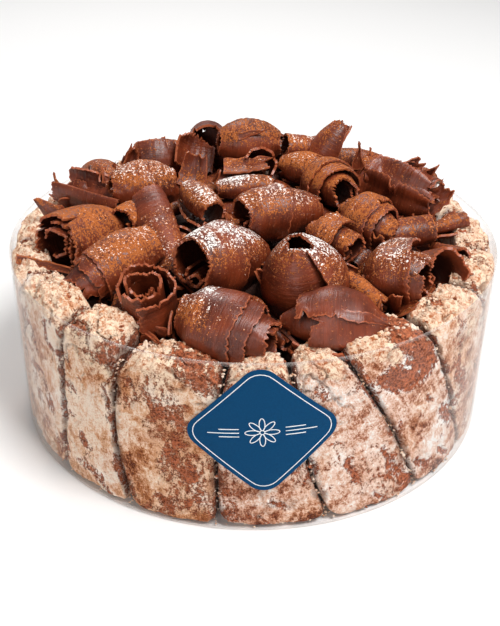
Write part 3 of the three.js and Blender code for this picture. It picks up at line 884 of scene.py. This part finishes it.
# ---- the film and the label ----
def clear_collar(material):
    """A ring of film with square edges, whose cut rims show."""
    bm = bmesh.new()
    cut = bm.verts.layers.float.new("cut")
    bmesh.ops.create_circle(bm, segments=240, radius=COLLAR_RADIUS)
    made = bmesh.ops.extrude_edge_only(bm, edges=bm.edges[:])["geom"]
    risen = [part for part in made if isinstance(part, bmesh.types.BMVert)]
    bmesh.ops.translate(bm, verts=risen, vec=UP * COLLAR_HEIGHT)
    bmesh.ops.recalc_face_normals(bm, faces=bm.faces)
    bmesh.ops.solidify(bm, geom=bm.faces[:], thickness=FILM)
    bmesh.ops.recalc_face_normals(bm, faces=bm.faces)
    upright = [edge for edge in bm.edges if abs(edge.verts[0].co.z - edge.verts[1].co.z) > 1]
    bmesh.ops.subdivide_edges(bm, edges=upright, cuts=40)
    for vert in bm.verts:
        from_edge = min(vert.co.z, COLLAR_HEIGHT - vert.co.z)
        vert[cut] = 0.2 * (1 - smooth(0.05, 0.3, from_edge))
    return make_piece("acetate_collar", bm, material, "acetate", "clear_collar", sharp=40)


def wrap_on_label(bm, lift):
    """Lays a flat drawing in XY round the collar, turned as the label is."""
    turn = Matrix.Rotation(math.radians(LABEL_TURN), 2)
    for vert in bm.verts:
        across, up = turn @ vert.co.xy
        radius = LABEL_RADIUS + lift + vert.co.z
        angle = math.radians(LABEL_HEADING) + across / COLLAR_RADIUS
        vert.co = round_place(radius, angle, LABEL_HEIGHT + up)


def rounded_diamond(share, half, corner):
    """A point of the outline of a square on its tip with rounded corners; share runs round it."""
    angle = 2 * math.pi * share
    direction = Vector((math.cos(angle), math.sin(angle)))
    flat = half - corner
    turned = Matrix.Rotation(math.radians(45), 2) @ direction
    reach = half / max(abs(turned.x), abs(turned.y))
    if min(abs(turned.x), abs(turned.y)) * reach > flat:
        # the corner's arc: |reach * turned - centre| = corner
        centre = Vector((math.copysign(flat, turned.x), math.copysign(flat, turned.y)))
        along = turned.dot(centre)
        reach = along + math.sqrt(max(0, along**2 - centre.length_squared + corner**2))
    return direction * reach


def label(paper, print_white):
    """A square label on its tip, and on it a frame, a flower of eight petals and short lines."""
    half = LABEL_SIDE / 2
    rings, sides = 14, 144
    bm = bmesh.new()
    bmesh.ops.create_circle(bm, segments=sides, radius=1, cap_ends=False)
    for n, vert in enumerate(bm.verts):
        vert.co = (*rounded_diamond(n / sides, half, LABEL_CORNER), 0)
    edge = bm.edges[:]
    for n in range(rings - 1):
        made = bmesh.ops.extrude_edge_only(bm, edges=edge)["geom"]
        inner = [part for part in made if isinstance(part, bmesh.types.BMVert)]
        edge = [part for part in made if isinstance(part, bmesh.types.BMEdge)]
        edge = [e for e in edge if all(v in inner for v in e.verts)]
        share = (rings - n - 1) / (rings - n)
        bmesh.ops.scale(bm, verts=inner, vec=(share, share, 1))
    bmesh.ops.contextual_create(bm, geom=edge)
    bmesh.ops.triangulate(bm, faces=[face for face in bm.faces if len(face.verts) > 4])
    bmesh.ops.recalc_face_normals(bm, faces=bm.faces)
    bmesh.ops.solidify(bm, geom=bm.faces[:], thickness=LABEL_PAPER)
    low = min(vert.co.z for vert in bm.verts)
    for vert in bm.verts:
        vert.co.z -= low
    wrap_on_label(bm, 0)
    bmesh.ops.recalc_face_normals(bm, faces=bm.faces)
    make_piece("label_sticker", bm, paper, "label_paper", "label", sharp=40)

    bm = bmesh.new()
    border = [rounded_diamond(n / 96, half - PRINT_INSET, LABEL_CORNER - 1) for n in range(97)]
    strip(bm, border, PRINT_LINE)
    for petal in range(8):
        middle = 2 * math.pi * petal / 8
        outline = []
        for n in range(25):
            turn = 2 * math.pi * n / 24
            out, side = 3.4 + 2.6 * math.cos(turn), math.sin(turn)
            x = out * math.cos(middle) - side * math.sin(middle)
            y = out * math.sin(middle) + side * math.cos(middle)
            outline.append(Vector((x, y)))
        strip(bm, outline, PRINT_LINE)
    for side in (-1, 1):
        for end, level in ((19, 0), (15, 1.6), (15, -1.6)):
            line = [Vector((side * mix(8, end, n / 12), level)) for n in range(13)]
            strip(bm, line, 0.32)
    wrap_on_label(bm, LABEL_PAPER)
    bmesh.ops.recalc_face_normals(bm, faces=bm.faces)
    make_piece("label_print", bm, print_white, "label_paper")


def strip(bm, line, width):
    """A thin flat band of print along a line of points in XY."""
    grid = bmesh.new()
    bmesh.ops.create_grid(grid, x_segments=len(line) - 1, y_segments=1, size=0.5)
    for vert in grid.verts:
        n = round((vert.co.x + 0.5) * (len(line) - 1))
        ahead = line[min(n + 1, len(line) - 1)] - line[max(n - 1, 0)]
        if (line[0] - line[-1]).length < 0.01 and n in (0, len(line) - 1):
            ahead = line[1] - line[-2]
        side = Vector((-ahead.y, ahead.x)).normalized() * width * vert.co.y
        vert.co = (line[n].x + side.x, line[n].y + side.y, PRINT_DEPTH)
    bmesh.ops.recalc_face_normals(grid, faces=grid.faces)
    bmesh.ops.solidify(grid, geom=grid.faces[:], thickness=PRINT_DEPTH)
    join(bm, grid)


# ---- the curls ----
def curl_matrix(x, y, z, heading, rise, edge):
    """A curl's own frame: its Z along the heading and rise, its X upwards, turned by the edge."""
    h, r = math.radians(heading), math.radians(rise)
    axis = Vector((math.cos(h) * math.cos(r), math.sin(h) * math.cos(r), math.sin(r)))
    right = Vector((math.sin(h), -math.cos(h), 0))
    up = right.cross(axis)
    basis = Matrix((up, right, axis)).transposed().to_4x4()
    return Matrix.Translation((x, y, z)) @ basis @ Matrix.Rotation(math.radians(edge), 4, "Z")


def swell(along, mouth, tail):
    """A curl's width along it, as a share of its width half way."""
    end = mouth if along > 0.5 else tail
    return 1 - (1 - end) * (2 * along - 1) ** 2


def tear(where, seed, teeth):
    """How far a torn edge falls short at a place along it, both in mm."""
    spot = Vector((where, seed, 0))
    slow = noise.noise(spot / 14) * 1.3
    tooth = abs((where / TOOTH + 1.5 * noise.noise(spot / 5)) % 1 - 0.5) * 1.6
    fine = noise.noise(spot * 1.3) * 0.3
    deep = smooth(0.42, 0.6, noise.noise(spot / 3.1 + Vector((9, 9, 9)))) * 2.2
    return teeth * (slow + tooth * (0.5 + abs(noise.noise(spot / 6))) + fine + deep)


def own_looks(name):
    """A curl's own row, with the usual values for what it doesn't say."""
    return {**USUAL, **OWN.get(name, {})}


def curl_mesh(number, row):
    """The rolled sheet of one curl, in mm in the cake's frame."""
    name, x, y, z, heading, rise, edge, length, diameter, turns, mouth, tail = row
    own = own_looks(name)
    matrix = curl_matrix(x, y, z, heading, rise, edge)
    seed = 31.7 * number + 3
    pitch = SHEET + SLACK * diameter
    around = math.pi * turns * (diameter - pitch * turns)
    bm = bmesh.new()
    bmesh.ops.create_grid(
        bm, x_segments=max(12, round(around / CURL_CELL)), y_segments=round(length / CURL_CELL), size=0.5
    )
    roll = bm.verts.layers.float_vector.new("roll")
    torn, along_of = floats(bm, "torn", "along")
    for vert in bm.verts:
        # the sheet as it is rolled, from its outer edge inwards, and torn at both ends
        u, v = vert.co.x + 0.5, vert.co.y + 0.5
        where = around * u
        turn = turns * u
        mouth_end = length / 2 + own["step"] * turn - tear(where, seed, own["teeth"])
        mouth_end -= own["arch"] * (2 * u - 1) ** 2
        tail_end = -length / 2 - 0.5 * turn + tear(where, seed + 50, 0.6 * own["teeth"])
        run = mix(tail_end, mouth_end, v)
        along = clamp(run / length + 0.5)
        share = swell(along, mouth, tail)
        spot = Vector((where, run, seed))
        radius = (diameter / 2 - pitch * turn - SHEET / 2) * share

        # dents, cross ribs and bark-like streaks
        radius += 0.7 * noise.noise(spot / 16) * min(1, pitch / 2)
        radius += own["ribs"] * noise.noise(Vector((where / RIB, run / 9, seed)))
        streaks = 1 - 2.4 * abs(noise.noise(Vector((where / 7, run / 1.7, seed + 9))))
        radius += own["bark"] * streaks * (0.5 + noise.noise(spot / 6))

        # a wavy mouth, and an outer edge that is torn and lifted
        from_mouth = (1 - v) * length
        flare = 1 - smooth(0, 5, from_mouth)
        radius += flare * noise.noise(Vector((where / 5, seed, 4))) * 0.9
        from_edge = u * around
        radius += 0.6 * (1 - smooth(0, 7, from_edge))
        shift = tear(run + 70, seed, 0.45 * own["teeth"]) * (1 - smooth(0, 12, from_edge))
        angle = 2 * math.pi * turn + shift / max(3, radius)
        bow = own["bend"] * (4 * (along - 0.5) ** 2)
        vert.co = (radius * math.cos(angle), radius * math.sin(angle) * own["squash"], run)
        vert.co += matrix.to_3x3().inverted() @ UP * bow
        vert[roll] = spot
        from_border = min(from_mouth, v * length, from_edge, (1 - u) * around)
        vert[torn] = 1 - smooth(0.1, 0.9, from_border)
        vert[along_of] = run / length + 0.5
    bmesh.ops.transform(bm, matrix=matrix, verts=bm.verts)

    # what would go through the film is pressed in against it
    limit = INSIDE_FILM - 1.2
    for vert in bm.verts:
        out = vert.co.xy.length
        if out > limit and vert.co.z < COLLAR_HEIGHT + 2:
            vert.co.xy *= limit / out
    return bm


def petal_mesh(row, seed, offset, lift, along_from, along_to, turn_from, turn_to):
    """A second layer over part of a curl: torn and lifted at its first edge each way, and sunk
    into the curl at its last ones. Turns are degrees from the top, to the right of the heading;
    along is 0 at the tail and 1 at the mouth."""
    name, x, y, z, heading, rise, edge, length, diameter, turns, mouth, tail = row
    squash = own_looks(name)["squash"]
    width = math.radians(abs(turn_to - turn_from)) * diameter / 2
    deep = abs(along_to - along_from) * length
    bm = bmesh.new()
    bmesh.ops.create_grid(
        bm,
        x_segments=max(6, round(width / CURL_CELL)),
        y_segments=max(6, round(deep / CURL_CELL)),
        size=0.5,
    )
    roll = bm.verts.layers.float_vector.new("roll")
    torn, along_of = floats(bm, "torn", "along")
    for vert in bm.verts:
        u, v = vert.co.x + 0.5, vert.co.y + 0.5
        from_side, from_end = u * width, v * deep
        ragged_end = tear(from_side, seed, 1.3) * (1 - smooth(0, 6, from_end))
        ragged_side = tear(from_end, seed + 20, 1.3) * (1 - smooth(0, 6, from_side))
        along = mix(along_from, along_to, min(1, v + ragged_end / deep))
        turn = mix(turn_from, turn_to, min(1, u + ragged_side / width))
        free = max(1 - smooth(0, 7, from_end), 1 - smooth(0, 7, from_side))
        sink = max(smooth(0.7, 1, u), smooth(0.7, 1, v))
        radius = diameter / 2 * swell(clamp(along), mouth, tail) + offset
        radius += lift * free**2 - (offset + 1.3) * sink
        radius += 0.5 * noise.noise(Vector((from_side / 8, from_end / 8, seed)))
        angle = math.radians(turn - edge)
        vert.co = (radius * math.cos(angle), radius * math.sin(angle) * squash, (along - 0.5) * length)
        vert[roll] = (from_side, from_end, seed)
        vert[along_of] = along
        vert[torn] = 1 - smooth(0.1, 0.9, min(from_side, from_end))
    matrix = curl_matrix(x, y, z, heading, rise, edge)
    bmesh.ops.transform(bm, matrix=matrix, verts=bm.verts)
    return bm


def thicken(bm, thickness):
    """Gives a sheet its thickness, away from its face normals, with closed edges."""
    inward = bm.verts.layers.float_vector.new("inward")
    bmesh.ops.recalc_face_normals(bm, faces=bm.faces)
    bm.normal_update()
    for vert in bm.verts:
        vert[inward] = vert.normal * -thickness
    made = bmesh.ops.extrude_face_region(bm, geom=bm.faces[:], use_keep_orig=True)["geom"]
    for part in made:
        if isinstance(part, bmesh.types.BMVert):
            part.co += part[inward]
    bm.verts.layers.float_vector.remove(inward)
    bmesh.ops.recalc_face_normals(bm, faces=bm.faces)


def inside_barrel(place, barrel):
    """True well inside the wall of an earlier curl."""
    inverse, length, diameter, mouth, tail = barrel
    near = inverse @ place
    along = near.z / length + 0.5
    if not 0.02 < along < 0.98:
        return False
    reach = diameter / 2 * swell(along, mouth, tail) - SHEET - 0.4
    return near.xy.length < reach


def sunk_in_mousse(place):
    """True where a curl is well under the mousse's top."""
    radius = min(place.xy.length, CORE_RADIUS)
    return place.z < core_height(radius) - 3


def curl_meshes():
    """All the curls as meshes in mm, each without what would lie inside an earlier one."""
    made = []
    barrels = []
    for number, row in enumerate([*CURLS, *tucked_curls()]):
        name, x, y, z, heading, rise, edge, length, diameter, turns, mouth, tail = row
        bm = curl_mesh(number, row)
        reach = (length + diameter) / 2
        near = [
            barrel
            for centre, size, barrel in barrels
            if (centre - Vector((x, y, z))).length < size + reach
        ]
        if row in SMALL_CURLS:
            near = []
        hidden = {
            vert
            for vert in bm.verts
            if sunk_in_mousse(vert.co) or any(inside_barrel(vert.co, b) for b in near)
        }
        lost = [face for face in bm.faces if all(vert in hidden for vert in face.verts)]
        bmesh.ops.delete(bm, geom=lost, context="FACES")
        thicken(bm, CURL_THICKNESS)
        for n, (of_curl, *sizes) in enumerate(PETALS):
            if of_curl == name:
                petal = petal_mesh(row, 7.3 * n + 2, *sizes)
                thicken(petal, PETAL_THICKNESS)
                join(bm, petal)
        made.append((name, bm))
        if turns > 0.7:
            inverse = curl_matrix(x, y, z, heading, rise, edge).inverted()
            barrel = (inverse, length, diameter, mouth, tail)
            barrels.append((Vector((x, y, z)), reach, barrel))
    return made


def tucked_curls():
    """Rows for the small curls of the lower layer, which show in the gaps of the heap."""
    lots = random.Random(5)
    rows = list(SMALL_CURLS)
    for n in range(TUCKED):
        radius = TUCKED_REACH * math.sqrt((n + 0.5) / TUCKED)
        angle = math.radians(GOLDEN_ANGLE * n)
        length = lots.uniform(12, 20)
        diameter = lots.uniform(9, 14)
        rows.append(
            (
                f"tucked_{n:02d}",
                *round_place(radius, angle, core_height(radius) + lots.uniform(3, 6)),
                lots.uniform(0, 360),
                lots.uniform(-8, 25),
                lots.uniform(0, 360),
                length,
                diameter,
                lots.uniform(0.7, 1.1),
                lots.uniform(0.7, 1.0),
                lots.uniform(0.6, 0.9),
            )
        )
    return rows


def flake_mesh(x, y, z, heading, rise, spin, length, width, tip, bend, seed):
    """A flake of chocolate that grows from its base along the heading and rise. Its face looks
    up, turned by the spin; tip is its width at the end as a share, and bend turns it (radians)."""
    bm = bmesh.new()
    rows = max(6, round(length / FLAKE_CELL))
    columns = max(3, round(width / FLAKE_CELL))
    bmesh.ops.create_grid(bm, x_segments=columns, y_segments=rows, size=0.5)
    roll = bm.verts.layers.float_vector.new("roll")
    torn = bm.verts.layers.float.new("torn")
    for vert in bm.verts:
        side, run = vert.co.x * 2, vert.co.y + 0.5
        half = width / 2 * mix(1, tip, run**1.5)
        half *= 1 + 0.35 * noise.noise(Vector((run * length / 4, seed, math.copysign(5, side))))
        reach = length * (1 + 0.22 * noise.noise(Vector((side * 2.3, seed, 9))) * run)
        turned = bend * run
        if abs(bend) > 0.01:
            ahead = reach * math.sin(turned) / bend
            rise_up = reach * (1 - math.cos(turned)) / bend
        else:
            ahead, rise_up = reach * run, 0
        rise_up += 0.12 * width * side * side
        rise_up += 0.5 * noise.noise(Vector((side * 2, run * length / 6, seed)))
        vert.co = (rise_up, side * half, ahead)
        vert[roll] = Vector((run * length, side * half, seed))
        border = min((1 - abs(side)) * half, (1 - run) * length, run * length)
        vert[torn] = 1 - smooth(0.1, 0.8, border)
    matrix = curl_matrix(x, y, z, heading, rise, spin)
    bmesh.ops.transform(bm, matrix=matrix, verts=bm.verts)
    thicken(bm, FLAKE_THICKNESS)
    return bm


def scattered_flakes():
    """Broken flakes between the curls and the mousse, and on the fingers' inner edge."""
    lots = random.Random(11)
    made = []
    for n in range(FLAKES):
        radius = FLAKE_REACH * math.sqrt((n + 0.5) / FLAKES)
        angle = math.radians(GOLDEN_ANGLE * n + 40)
        low = core_height(min(radius, CORE_RADIUS))
        height = low + lots.uniform(1, 7) + 5 * smooth(76, FLAKE_REACH, radius)
        made.append(
            flake_mesh(
                *round_place(radius, angle, height),
                lots.uniform(0, 360),
                lots.uniform(-10, 50),
                lots.uniform(-70, 70),
                lots.uniform(7, 16),
                lots.uniform(2, 8),
                lots.uniform(0.1, 0.9),
                lots.uniform(-0.9, 0.9),
                n + 0.5,
            )
        )
    return made


def dust(made):
    """Cocoa and sugar on what looks up and has nothing above it, and how deep in the heap each
    place is: 0 where it has nothing before it and 1 where it is shut in. That depth sets the
    chocolate's painted shade."""
    vertices = []
    faces = []
    for _, bm in made:
        first = len(vertices)
        bm.verts.index_update()
        vertices.extend(vert.co.copy() for vert in bm.verts)
        faces.extend([first + vert.index for vert in face.verts] for face in bm.faces)
    heap = BVHTree.FromPolygons(vertices, faces)
    # powder falls straight down and at two slants
    falls = [UP, Vector((0.35, 0.1, 1)), Vector((-0.25, -0.3, 1))]
    for name, bm in made:
        own = own_looks(name)
        along = bm.verts.layers.float.get("along") or bm.verts.layers.float.new("along")
        cocoa, sugar, deep = floats(bm, "cocoa", "sugar", "deep")
        bm.normal_update()
        for vert in bm.verts:
            tilt = vert.normal.z
            start = vert.co + vert.normal * 0.3
            outward = (vert.normal, vert.normal + UP)
            # how open the place is, which sets how much painted shade it gets
            seen = sum(heap.ray_cast(start, look, NEAR_SIGHT)[0] is None for look in outward) / 2
            vert[deep] = 1 - seen
            if tilt < -0.2:
                continue
            open_sky = sum(heap.ray_cast(start, fall, SKY)[0] is None for fall in falls) / 3
            vert[deep] = 1 - max(seen, open_sky)
            lies = smooth(-0.1, 0.65, tilt) * open_sky
            patch = 0.35 * fractal(vert.co, 9, 2)
            ending = 0.12 * noise.noise(vert.co / 5)
            kept = 1 - 0.8 * smooth(own["clean"] - 0.1, own["clean"] + 0.2, vert[along] + ending)
            lies *= kept
            vert[cocoa] = max(0, own["cocoa"] * (1 + patch) * lies)
            steep = smooth(0.25, 0.9, tilt) * open_sky * kept
            clumps = 0.5 * fractal(vert.co + Vector((30, 0, 0)), 7, 2)
            vert[sugar] = max(0, own["sugar"] * (1 + clumps) * steep)
        # the painted shade is evened out with the neighbouring vertices
        around = {
            vert: sum(edge.other_vert(vert)[deep] for edge in vert.link_edges) / len(vert.link_edges)
            for vert in bm.verts
        }
        for vert, mean in around.items():
            vert[deep] = (vert[deep] + mean) / 2


def curls(material):
    """All the chocolate: a piece for each curl and shard, one for small curls, one for flakes."""
    made = curl_meshes()
    for name, *sizes in SHARDS:
        made.append(("shard_" + name, flake_mesh(*sizes)))
    made += [(f"flake_{n:03d}", bm) for n, bm in enumerate(scattered_flakes())]
    dust(made)
    joined = {"tucked": bmesh.new(), "flake": bmesh.new()}
    for name, bm in made:
        group = name.split("_")[0]
        if group in joined:
            join(joined[group], bm)
        elif group == "shard":
            make_piece(name, bm, material, "chocolate", sharp=50)
        else:
            make_piece(name, bm, material, "chocolate", "curl_" + name, sharp=50)
    make_piece("tucked_curls", joined["tucked"], material, "chocolate", sharp=50)
    make_piece("loose_flakes", joined["flake"], material, "chocolate", sharp=50)


# ---- the studio ----
def studio():
    """A white floor, a white sky and three soft lights: key from the front right, fill, and back."""
    bm = bmesh.new()
    bmesh.ops.create_grid(bm, x_segments=1, y_segments=1, size=3)
    mesh = bpy.data.meshes.new("studio_floor")
    bm.to_mesh(mesh)
    bm.free()
    mesh.materials.append(plain_surface("white_floor", "#f4f3f2", 0.9))
    floor = bpy.data.objects.new("studio_floor", mesh)
    floor.location.z = -0.0005
    bpy.context.scene.collection.objects.link(floor)

    world = bpy.data.worlds.new("studio")
    world.use_nodes = True
    world.node_tree.nodes["Background"].inputs["Color"].default_value = linear("#ffffff")
    world.node_tree.nodes["Background"].inputs["Strength"].default_value = SKY_STRENGTH
    bpy.context.scene.world = world

    for name, place, size, power in SOFTBOXES:
        light = bpy.data.lights.new(name, "AREA")
        light.shape = "SQUARE"
        light.size = size
        light.energy = power
        lamp = bpy.data.objects.new(name, light)
        lamp.location = place
        aim = LIT_PLACE - lamp.location
        lamp.rotation_euler = aim.to_track_quat("-Z", "Y").to_euler()
        bpy.context.scene.collection.objects.link(lamp)


def camera():
    """The photo's view: its lens, its place, where it looks, and its small roll."""
    data = bpy.data.cameras.new("camera")
    data.sensor_width = 36
    data.lens = LENS
    place = Vector(CAMERA_PLACE)
    ahead = Vector(CAMERA_AHEAD).normalized()
    level = ahead.cross(UP).normalized()
    above = level.cross(ahead)
    roll = math.radians(CAMERA_ROLL)
    across = level * math.cos(roll) + above * math.sin(roll)
    upright = above * math.cos(roll) - level * math.sin(roll)
    shot = bpy.data.objects.new("camera", data)
    turned = Matrix((across, upright, -ahead)).transposed().to_4x4()
    shot.matrix_world = Matrix.Translation(place) @ turned
    bpy.context.scene.collection.objects.link(shot)
    bpy.context.scene.camera = shot
    bpy.context.scene.view_settings.view_transform = "Standard"


camera()
studio()
mousse_core(chocolate_mousse())
sponge = baked_sponge()
crumbs(sponge, [sponge_finger(i, sponge) for i in range(FINGER_COUNT)])
clear_collar(clear_acetate())
label(coated_paper(), plain_surface("white_print", "#eef0f2", 0.5))
curls(scraped_chocolate())
